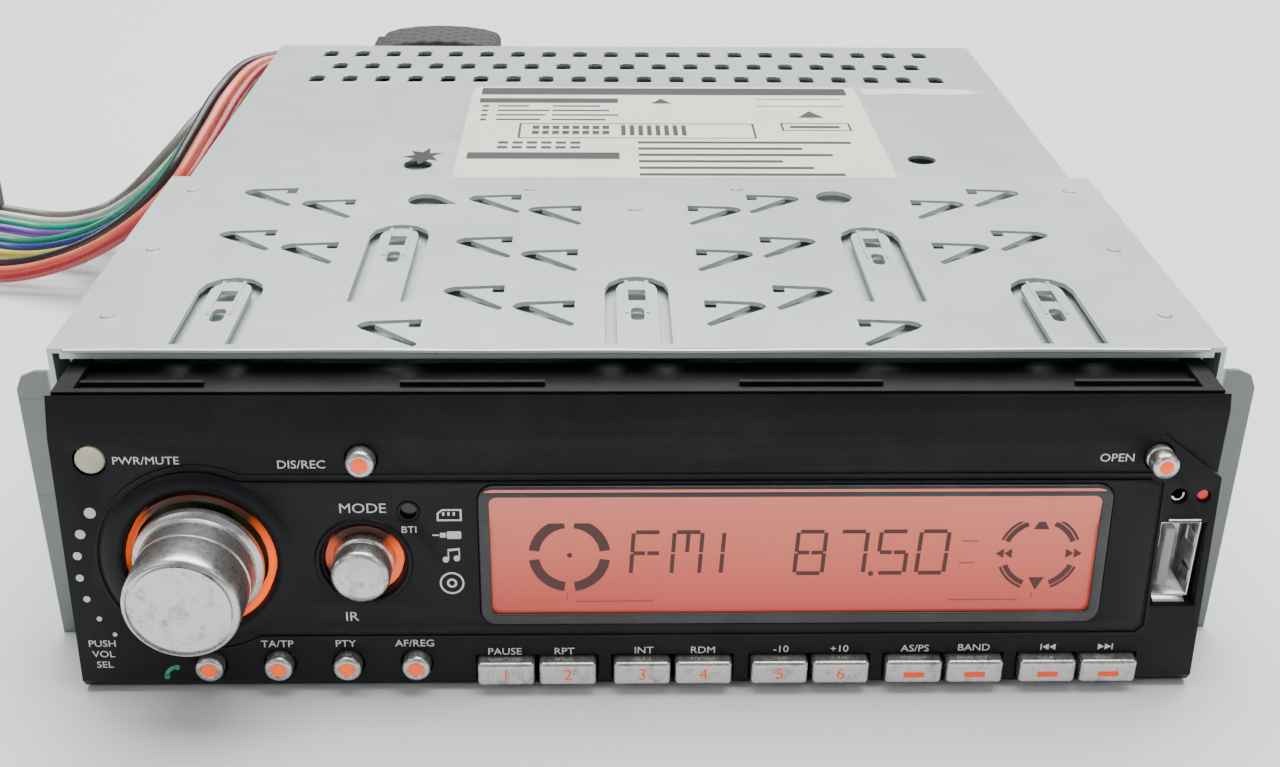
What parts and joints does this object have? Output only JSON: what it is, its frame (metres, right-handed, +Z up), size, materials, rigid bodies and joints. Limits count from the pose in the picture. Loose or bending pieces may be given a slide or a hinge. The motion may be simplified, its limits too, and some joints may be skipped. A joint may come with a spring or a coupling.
{
  "type": "car radio",
  "caption": "Single-slot car radio: steel box in a slotted mounting sleeve, black flip-down panel with knob, lit display, keys and USB socket, short wiring pigtail.",
  "frame": {"origin": "centre of the mounting sleeve's underside, which the radio stands on", "axes": "+X to the right seen from the front, +Y towards the rear socket, +Z up"},
  "size_m": [0.2914, 0.2366, 0.053],
  "materials": {
    "steel": "galvanised, dull spangle, fine scratches",
    "bright_steel": "bright nickel plate",
    "heat_sink_metal": "plain extrusion",
    "black_plastic": "fine grain, worn satin on edges",
    "circuit_board": "solder mask",
    "silver_plastic": "silver paint, scratched",
    "yellowed_resin": "bare resin, cap missing",
    "display_window": "smoked window lit salmon from behind",
    "light_guide": "orange, lit",
    "grey_plastic": "moulded",
    "black_rubber": "matt",
    "wire_dark_red": "PVC insulation, soft sheen",
    "wire_salmon": "PVC insulation, soft sheen",
    "wire_black": "PVC insulation, soft sheen",
    "wire_yellow": "PVC insulation, soft sheen",
    "wire_navy": "PVC insulation, soft sheen",
    "wire_green": "PVC insulation, soft sheen",
    "wire_purple": "PVC insulation, soft sheen",
    "wire_light_green": "PVC insulation, soft sheen",
    "wire_white": "PVC insulation, soft sheen",
    "wire_grey": "PVC insulation, soft sheen"
  },
  "bodies": {
    "chassis": {"chassis_base": "steel", "top_cover": "steel", "rear_panel": "steel", "heat_sink": "heat_sink_metal", "rear_socket": "black_plastic", "harness_plug": "black_rubber", "antenna_socket": "bright_steel", "rear_stud": "bright_steel", "main_board": "circuit_board", "disc_deck": "steel", "front_nose": "black_plastic", "hinge_pin_left": "bright_steel", "hinge_pin_right": "bright_steel", "power_connector": "black_rubber", "speaker_connector": "black_rubber", "wire_dark_red": "wire_dark_red", "wire_salmon": "wire_salmon", "wire_black": "wire_black", "wire_yellow": "wire_yellow", "wire_navy": "wire_navy", "wire_green": "wire_green", "wire_purple": "wire_purple", "wire_light_green": "wire_light_green", "wire_white": "wire_white", "wire_grey": "wire_grey"},
    "sleeve": {"mounting_sleeve": "steel"},
    "panel": {"panel_shell": "black_plastic", "panel_back": "black_plastic", "panel_board": "circuit_board", "display_window": "display_window", "display_module": "grey_plastic", "knob_light_ring": "light_guide", "mode_light_ring": "light_guide", "infrared_lens": "black_plastic", "status_led": "light_guide", "usb_socket": "bright_steel", "usb_tongue": "grey_plastic"},
    "volume_shaft": {"volume_shaft": "bright_steel"},
    "volume_knob": {"volume_knob": "silver_plastic"},
    "open_button": {"open_button": "silver_plastic"},
    "mode_button": {"mode_button": "silver_plastic"},
    "power_button": {"power_button": "yellowed_resin"},
    "display_button": {"display_button": "silver_plastic"},
    "phone_button": {"phone_button": "silver_plastic"},
    "traffic_button": {"traffic_button": "silver_plastic"},
    "program_button": {"program_button": "silver_plastic"},
    "frequency_button": {"frequency_button": "silver_plastic"},
    "key_1": {"key_1": "silver_plastic"},
    "key_2": {"key_2": "silver_plastic"},
    "key_3": {"key_3": "silver_plastic"},
    "key_4": {"key_4": "silver_plastic"},
    "key_5": {"key_5": "silver_plastic"},
    "key_6": {"key_6": "silver_plastic"},
    "key_search": {"key_search": "silver_plastic"},
    "key_band": {"key_band": "silver_plastic"},
    "key_previous": {"key_previous": "silver_plastic"},
    "key_next": {"key_next": "silver_plastic"},
    "turntable": {"turntable": "black_plastic"},
    "feed_roller": {"feed_roller": "black_rubber"},
    "laser_sled": {"laser_sled": "grey_plastic"}
  },
  "joints": [
    {"name": "sleeve_slide", "type": "slide", "parent": "chassis", "child": "sleeve", "axis": [0, 1, 0], "range_m": [0, 0.06]},
    {"name": "panel_fold", "type": "hinge", "parent": "chassis", "child": "panel", "pos_m": [0, -0.0496, 0.0034], "axis": [1, 0, 0], "range_deg": [0, 90]},
    {"name": "volume_push", "type": "slide", "parent": "panel", "child": "volume_shaft", "axis": [0, 1, 0], "range_m": [0, 0.0009], "stiffness_N_per_m": 900},
    {"name": "volume_turn", "type": "hinge", "parent": "volume_shaft", "child": "volume_knob", "pos_m": [-0.0678, -0.06, 0.0236], "axis": [0, -1, 0], "continuous": true},
    {"name": "open_push", "type": "slide", "parent": "panel", "child": "open_button", "axis": [0, 1, 0], "range_m": [0, 0.0012], "stiffness_N_per_m": 500},
    {"name": "mode_push", "type": "slide", "parent": "panel", "child": "mode_button", "axis": [0, 1, 0], "range_m": [0, 0.0006], "stiffness_N_per_m": 600},
    {"name": "power_push", "type": "slide", "parent": "panel", "child": "power_button", "axis": [0, 1, 0], "range_m": [0, 0.0006], "stiffness_N_per_m": 600},
    {"name": "display_push", "type": "slide", "parent": "panel", "child": "display_button", "axis": [0, 1, 0], "range_m": [0, 0.0006], "stiffness_N_per_m": 600},
    {"name": "phone_push", "type": "slide", "parent": "panel", "child": "phone_button", "axis": [0, 1, 0], "range_m": [0, 0.0006], "stiffness_N_per_m": 600},
    {"name": "traffic_push", "type": "slide", "parent": "panel", "child": "traffic_button", "axis": [0, 1, 0], "range_m": [0, 0.0006], "stiffness_N_per_m": 600},
    {"name": "program_push", "type": "slide", "parent": "panel", "child": "program_button", "axis": [0, 1, 0], "range_m": [0, 0.0006], "stiffness_N_per_m": 600},
    {"name": "frequency_push", "type": "slide", "parent": "panel", "child": "frequency_button", "axis": [0, 1, 0], "range_m": [0, 0.0006], "stiffness_N_per_m": 600},
    {"name": "key_1_push", "type": "slide", "parent": "panel", "child": "key_1", "axis": [0, 1, 0], "range_m": [0, 0.0006], "stiffness_N_per_m": 600},
    {"name": "key_2_push", "type": "slide", "parent": "panel", "child": "key_2", "axis": [0, 1, 0], "range_m": [0, 0.0006], "stiffness_N_per_m": 600},
    {"name": "key_3_push", "type": "slide", "parent": "panel", "child": "key_3", "axis": [0, 1, 0], "range_m": [0, 0.0006], "stiffness_N_per_m": 600},
    {"name": "key_4_push", "type": "slide", "parent": "panel", "child": "key_4", "axis": [0, 1, 0], "range_m": [0, 0.0006], "stiffness_N_per_m": 600},
    {"name": "key_5_push", "type": "slide", "parent": "panel", "child": "key_5", "axis": [0, 1, 0], "range_m": [0, 0.0006], "stiffness_N_per_m": 600},
    {"name": "key_6_push", "type": "slide", "parent": "panel", "child": "key_6", "axis": [0, 1, 0], "range_m": [0, 0.0006], "stiffness_N_per_m": 600},
    {"name": "key_search_push", "type": "slide", "parent": "panel", "child": "key_search", "axis": [0, 1, 0], "range_m": [0, 0.0006], "stiffness_N_per_m": 600},
    {"name": "key_band_push", "type": "slide", "parent": "panel", "child": "key_band", "axis": [0, 1, 0], "range_m": [0, 0.0006], "stiffness_N_per_m": 600},
    {"name": "key_previous_push", "type": "slide", "parent": "panel", "child": "key_previous", "axis": [0, 1, 0], "range_m": [0, 0.0006], "stiffness_N_per_m": 600},
    {"name": "key_next_push", "type": "slide", "parent": "panel", "child": "key_next", "axis": [0, 1, 0], "range_m": [0, 0.0006], "stiffness_N_per_m": 600},
    {"name": "turntable_spin", "type": "hinge", "parent": "chassis", "child": "turntable", "pos_m": [0, 0.033, 0.036], "axis": [0, 0, 1], "continuous": true},
    {"name": "roller_spin", "type": "hinge", "parent": "chassis", "child": "feed_roller", "pos_m": [0, -0.021, 0.0326], "axis": [1, 0, 0], "continuous": true},
    {"name": "sled_slide", "type": "slide", "parent": "chassis", "child": "laser_sled", "axis": [0, 1, 0], "range_m": [0, 0.033]}
  ]
}
